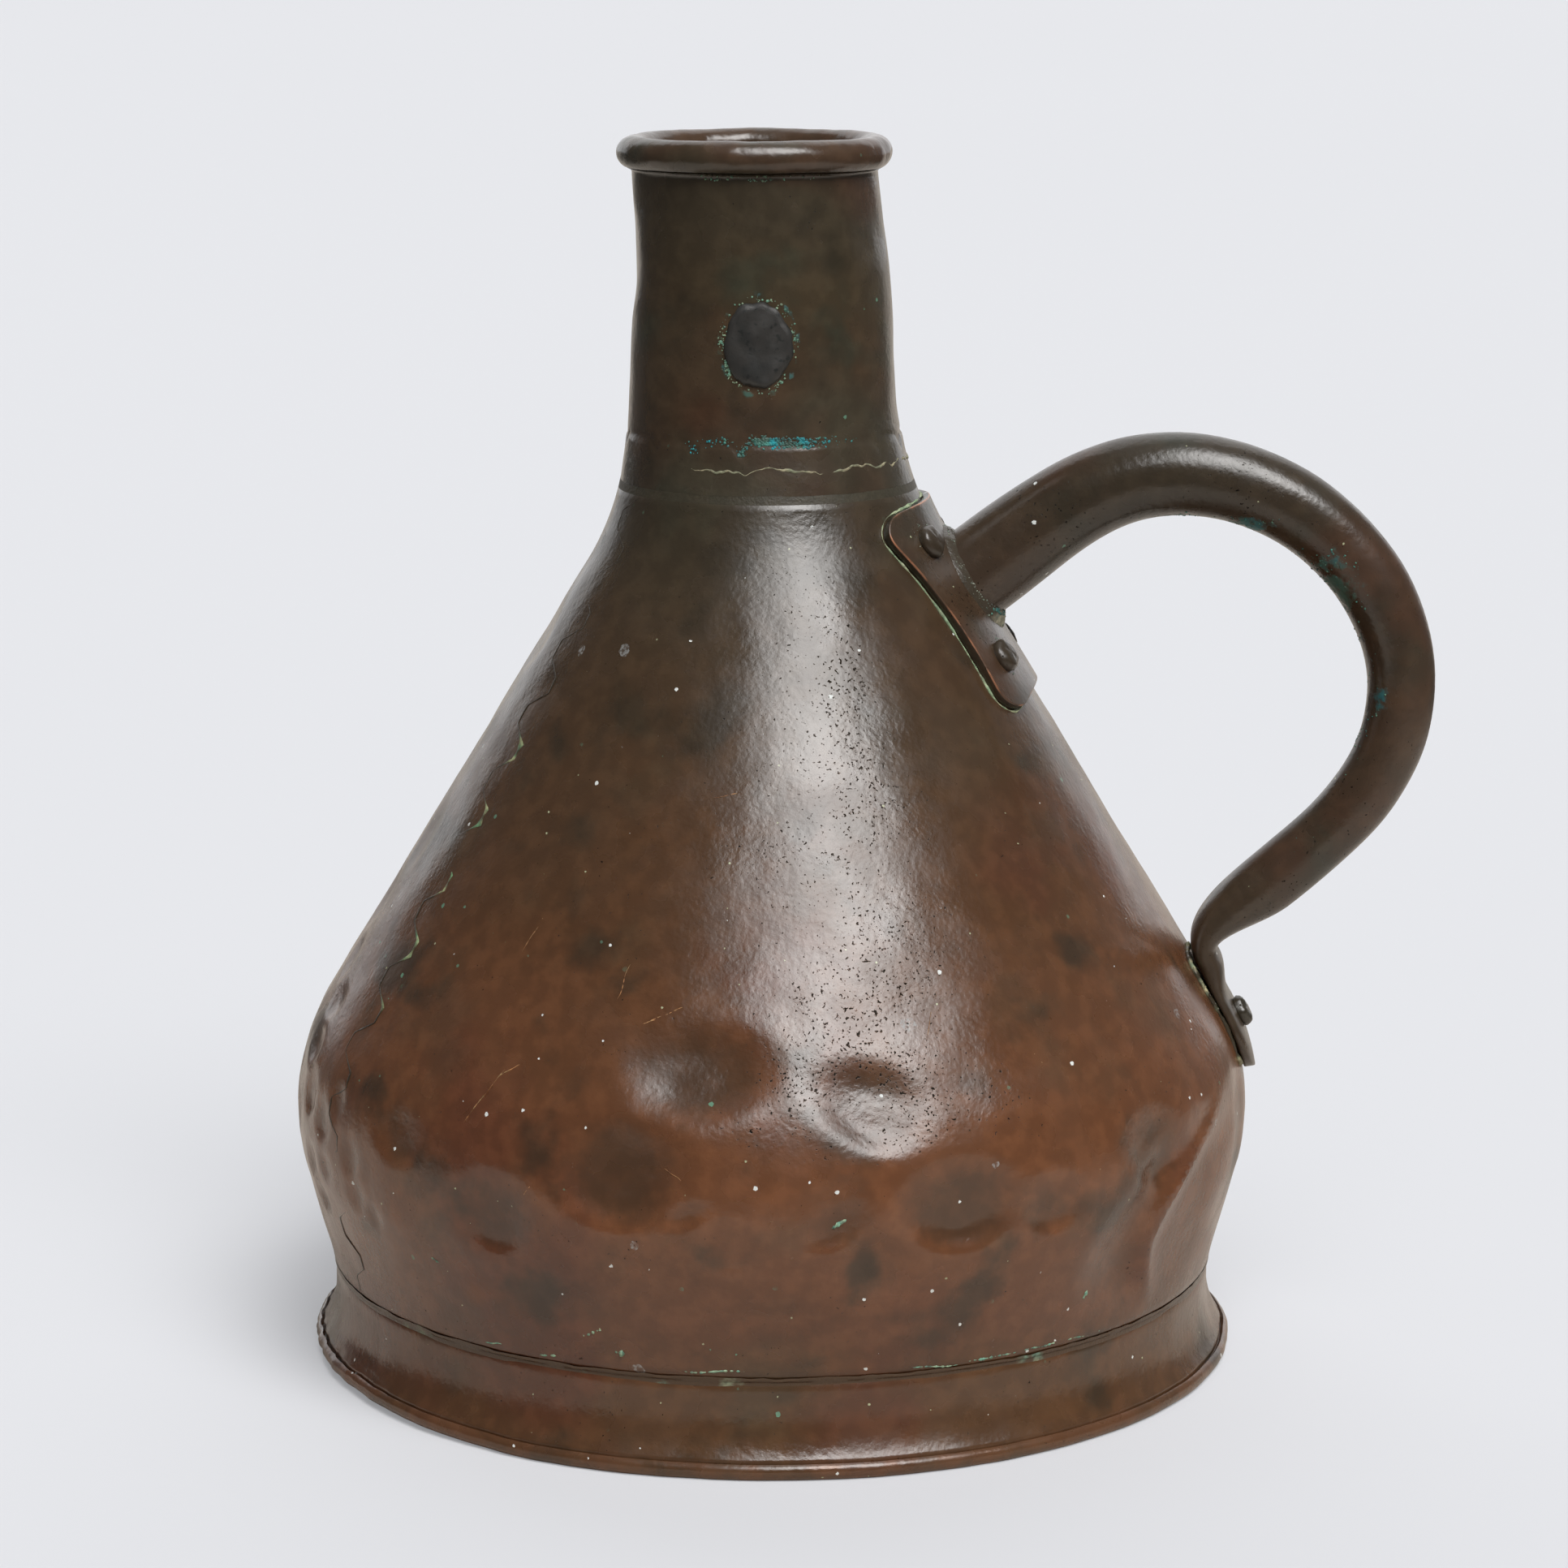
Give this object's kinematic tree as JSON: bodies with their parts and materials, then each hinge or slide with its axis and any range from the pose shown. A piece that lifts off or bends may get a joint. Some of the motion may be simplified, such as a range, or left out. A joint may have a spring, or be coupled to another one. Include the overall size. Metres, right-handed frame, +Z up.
{
  "type": "copper haystack measure",
  "caption": "Conical copper spirit measure with a bulged base, wired lip and foot, a gauge plug in the narrow neck and a hollow loop handle riveted to the side.",
  "frame": {"origin": "middle of the foot, on the table", "axes": "+Z up the vessel's axis, +X towards the handle; the gauge plug faces nearly -Y"},
  "size_m": [0.2767, 0.2334, 0.296],
  "materials": {
    "body_copper": "old hammered sheet copper with a dark brown patina, worn shiny",
    "neck_copper": "sheet copper with a dark olive brown patina",
    "handle_copper": "dark olive brown patina, worn to copper along its edges",
    "rivet_copper": "hammered copper rivet heads, darkened",
    "spelter": "brazing spelter, dull with verdigris",
    "solder": "tin solder, dull and grey",
    "plug_lead": "lead, dull grey",
    "iron_wire": "black iron wire"
  },
  "bodies": {
    "root": {"body_shell": "body_copper", "body_seam_braze": "spelter", "neck_tube": "neck_copper", "neck_seam_braze": "spelter", "neck_joint_braze": "spelter", "rim_wire": "iron_wire", "gauge_plug": "plug_lead", "foot_band": "body_copper", "foot_seam_braze": "spelter", "foot_wire": "iron_wire", "foot_solder": "solder", "bottom_pan": "body_copper", "bottom_solder": "solder", "handle_tube": "handle_copper", "handle_saddle": "handle_copper", "saddle_fillet": "solder", "saddle_rivets_upper": "rivet_copper", "saddle_rivets_lower": "rivet_copper", "tang_rivet": "rivet_copper", "tang_solder": "solder"}
  },
  "joints": []
}
